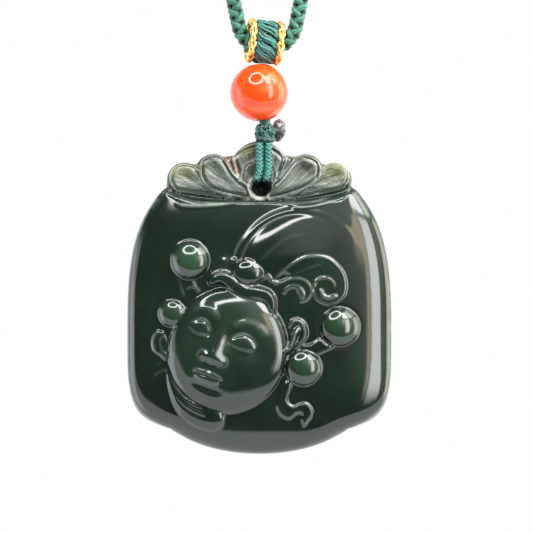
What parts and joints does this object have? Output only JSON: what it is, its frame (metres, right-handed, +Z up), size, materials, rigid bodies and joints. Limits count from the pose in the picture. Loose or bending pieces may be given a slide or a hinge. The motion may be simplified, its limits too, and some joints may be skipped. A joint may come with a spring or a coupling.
{
  "type": "jade pendant necklace",
  "caption": "Carved jade bag pendant with a petalled crown and a folk relief, hung by a knotted cord, an agate bead and a wound bail from a braided necklace.",
  "frame": {"origin": "Under the closing sleeve at the top of the necklace loop, where the necklace hangs on a neck or a hook.", "axes": "+Z up, along the hanging necklace. The carved face of the jade looks along -Y. +X is to the right of someone who looks at that face."},
  "size_m": [0.1028, 0.0139, 0.354],
  "materials": {
    "jade": "polished",
    "agate": "polished, translucent",
    "braid": "braided",
    "thin_cord": "twisted, waxed",
    "gold_thread": "metallic thread",
    "burnt_cord": "melted"
  },
  "bodies": {
    "root": {"necklace_cord": "braid", "closing_wrap": "thin_cord", "bail_wrap": "thin_cord", "gold_edge_left": "gold_thread", "gold_edge_right": "gold_thread", "agate_bead": "agate", "bead_thread": "thin_cord", "button_knot": "thin_cord", "burnt_end": "burnt_cord", "strand_left": "thin_cord", "strand_right": "thin_cord"},
    "jade": {"jade_pendant": "jade"}
  },
  "joints": [
    {"name": "jade_swing", "type": "hinge", "parent": "root", "child": "jade", "pos_m": [-0.001, 0, -0.30397], "axis": [0, 1, 0], "range_deg": [-20, 20]}
  ]
}
